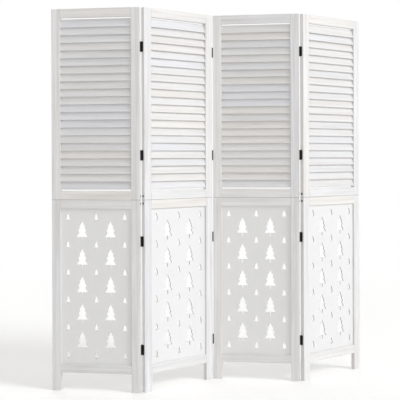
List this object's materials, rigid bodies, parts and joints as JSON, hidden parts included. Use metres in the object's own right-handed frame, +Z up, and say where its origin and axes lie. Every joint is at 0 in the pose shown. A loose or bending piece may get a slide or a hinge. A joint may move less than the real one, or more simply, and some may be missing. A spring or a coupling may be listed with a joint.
{
  "type": "folding screen",
  "caption": "Folding screen of hinged wooden panels, each with fixed slats above and a thin board pierced by fir trees below.",
  "frame": {"origin": "on the floor, under the middle of the standing screen's length and depth", "axes": "+X along the screen from its left to its right, +Y to its back, +Z up"},
  "size_m": [1.5032, 0.188, 1.7],
  "materials": {
    "frame_wood": "thin whitewash over straight grain",
    "slat_wood": "thin whitewash over straight grain",
    "board": "smooth whitewashed thin board",
    "inner_wood": "bare wood",
    "hinge_metal": "satin black"
  },
  "bodies": {
    "panel_1": {"panel_1_upper_left_stile": "frame_wood", "panel_1_upper_right_stile": "frame_wood", "panel_1_lower_left_stile": "frame_wood", "panel_1_lower_right_stile": "frame_wood", "panel_1_top_rail": "frame_wood", "panel_1_upper_middle_rail": "frame_wood", "panel_1_lower_middle_rail": "frame_wood", "panel_1_bottom_rail": "frame_wood", "panel_1_slats": "slat_wood", "panel_1_tree_board": "board", "panel_1_joining_tongues": "inner_wood", "hinges_12_left_leaves": "hinge_metal"},
    "panel_2": {"panel_2_upper_left_stile": "frame_wood", "panel_2_upper_right_stile": "frame_wood", "panel_2_lower_left_stile": "frame_wood", "panel_2_lower_right_stile": "frame_wood", "panel_2_top_rail": "frame_wood", "panel_2_upper_middle_rail": "frame_wood", "panel_2_lower_middle_rail": "frame_wood", "panel_2_bottom_rail": "frame_wood", "panel_2_slats": "slat_wood", "panel_2_tree_board": "board", "panel_2_joining_tongues": "inner_wood", "hinges_12_right_leaves": "hinge_metal", "hinges_23_left_leaves": "hinge_metal"},
    "panel_3": {"panel_3_upper_left_stile": "frame_wood", "panel_3_upper_right_stile": "frame_wood", "panel_3_lower_left_stile": "frame_wood", "panel_3_lower_right_stile": "frame_wood", "panel_3_top_rail": "frame_wood", "panel_3_upper_middle_rail": "frame_wood", "panel_3_lower_middle_rail": "frame_wood", "panel_3_bottom_rail": "frame_wood", "panel_3_slats": "slat_wood", "panel_3_tree_board": "board", "panel_3_joining_tongues": "inner_wood", "hinges_23_right_leaves": "hinge_metal", "hinges_34_left_leaves": "hinge_metal"},
    "panel_4": {"panel_4_upper_left_stile": "frame_wood", "panel_4_upper_right_stile": "frame_wood", "panel_4_lower_left_stile": "frame_wood", "panel_4_lower_right_stile": "frame_wood", "panel_4_top_rail": "frame_wood", "panel_4_upper_middle_rail": "frame_wood", "panel_4_lower_middle_rail": "frame_wood", "panel_4_bottom_rail": "frame_wood", "panel_4_slats": "slat_wood", "panel_4_tree_board": "board", "panel_4_joining_tongues": "inner_wood", "hinges_34_right_leaves": "hinge_metal"}
  },
  "joints": [
    {"name": "fold_12", "type": "hinge", "parent": "panel_1", "child": "panel_2", "pos_m": [-0.37677, -0.07516, 0.85], "axis": [0, 0, 1], "range_deg": [-50, 130]},
    {"name": "fold_23", "type": "hinge", "parent": "panel_2", "child": "panel_3", "pos_m": [0, 0.07516, 0.85], "axis": [0, 0, -1], "range_deg": [-50, 130]},
    {"name": "fold_34", "type": "hinge", "parent": "panel_3", "child": "panel_4", "pos_m": [0.37677, -0.07516, 0.85], "axis": [0, 0, 1], "range_deg": [-50, 130]}
  ]
}
